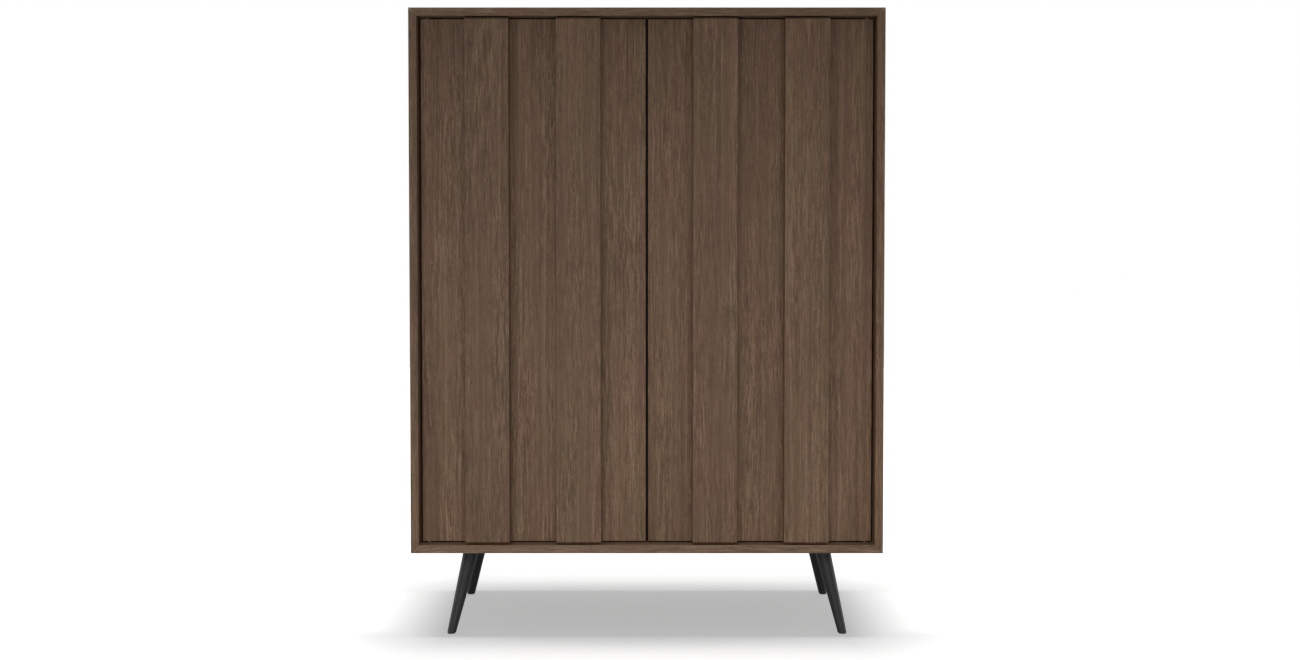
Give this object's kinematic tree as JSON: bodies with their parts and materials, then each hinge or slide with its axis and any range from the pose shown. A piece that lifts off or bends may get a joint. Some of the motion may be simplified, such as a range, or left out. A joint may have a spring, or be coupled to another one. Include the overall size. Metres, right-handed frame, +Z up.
{
  "type": "highboard",
  "caption": "Tall storage cabinet with two hinged doors that carry raised vertical slats, shelves on pins inside, hidden pivot hinges and push latches, on splayed tapered legs",
  "frame": {"origin": "on the floor, under the middle of the carcass", "axes": "+Z up, -Y out of the front with the doors, +X to the right of someone who faces the front"},
  "size_m": [1.1, 0.45, 1.46],
  "materials": {
    "veneer": "satin smoked oak veneer",
    "inner_veneer": "satin smoked oak veneer",
    "back_board": "matte",
    "leg_lacquer": "satin charcoal lacquer",
    "steel": "zinc plated",
    "washer_brass": "turned",
    "latch_plastic": "matte",
    "glide_plastic": "matte"
  },
  "bodies": {
    "cabinet": {"top_panel": "veneer", "bottom_panel": "veneer", "left_side_panel": "veneer", "right_side_panel": "veneer", "centre_partition": "inner_veneer", "back_panel": "back_board", "left_shelf_1": "inner_veneer", "left_shelf_2": "inner_veneer", "left_shelf_3": "inner_veneer", "right_shelf_1": "inner_veneer", "right_shelf_2": "inner_veneer", "right_shelf_3": "inner_veneer", "left_bottom_pivot_plate": "steel", "left_bottom_pivot_pin": "steel", "left_bottom_pivot_washer": "washer_brass", "left_top_pivot_plate": "steel", "left_top_pivot_pin": "steel", "left_top_pivot_washer": "washer_brass", "right_bottom_pivot_plate": "steel", "right_bottom_pivot_pin": "steel", "right_bottom_pivot_washer": "washer_brass", "right_top_pivot_plate": "steel", "right_top_pivot_pin": "steel", "right_top_pivot_washer": "washer_brass", "left_latch_housing": "latch_plastic", "left_latch_spring": "steel", "right_latch_housing": "latch_plastic", "right_latch_spring": "steel", "front_left_leg": "leg_lacquer", "front_left_leg_bolt": "steel", "front_left_leg_plate": "steel", "front_left_glide": "glide_plastic", "front_right_leg": "leg_lacquer", "front_right_leg_bolt": "steel", "front_right_leg_plate": "steel", "front_right_glide": "glide_plastic", "rear_left_leg": "leg_lacquer", "rear_left_leg_bolt": "steel", "rear_left_leg_plate": "steel", "rear_left_glide": "glide_plastic", "rear_right_leg": "leg_lacquer", "rear_right_leg_bolt": "steel", "rear_right_leg_plate": "steel", "rear_right_glide": "glide_plastic"},
    "left_door": {"left_door_panel": "veneer", "left_door_outer_slat": "veneer", "left_door_inner_slat": "veneer", "left_bottom_pivot_door_plate": "steel", "left_top_pivot_door_plate": "steel", "left_strike_plate": "steel"},
    "right_door": {"right_door_panel": "veneer", "right_door_outer_slat": "veneer", "right_door_inner_slat": "veneer", "right_bottom_pivot_door_plate": "steel", "right_top_pivot_door_plate": "steel", "right_strike_plate": "steel"},
    "left_plunger": {"left_latch_plunger": "latch_plastic"},
    "right_plunger": {"right_latch_plunger": "latch_plastic"}
  },
  "joints": [
    {"name": "left_door_hinge", "type": "hinge", "parent": "cabinet", "child": "left_door", "pos_m": [-0.513, -0.182, 0.8275], "axis": [0, 0, -1], "range_deg": [0, 95]},
    {"name": "right_door_hinge", "type": "hinge", "parent": "cabinet", "child": "right_door", "pos_m": [0.513, -0.182, 0.8275], "axis": [0, 0, 1], "range_deg": [0, 95]},
    {"name": "left_latch_slide", "type": "slide", "parent": "cabinet", "child": "left_plunger", "axis": [0, -1, 0], "range_m": [-0.0025, 0], "stiffness_N_per_m": 200, "springref_m": 0.002},
    {"name": "right_latch_slide", "type": "slide", "parent": "cabinet", "child": "right_plunger", "axis": [0, -1, 0], "range_m": [-0.0025, 0], "stiffness_N_per_m": 200, "springref_m": 0.002}
  ]
}
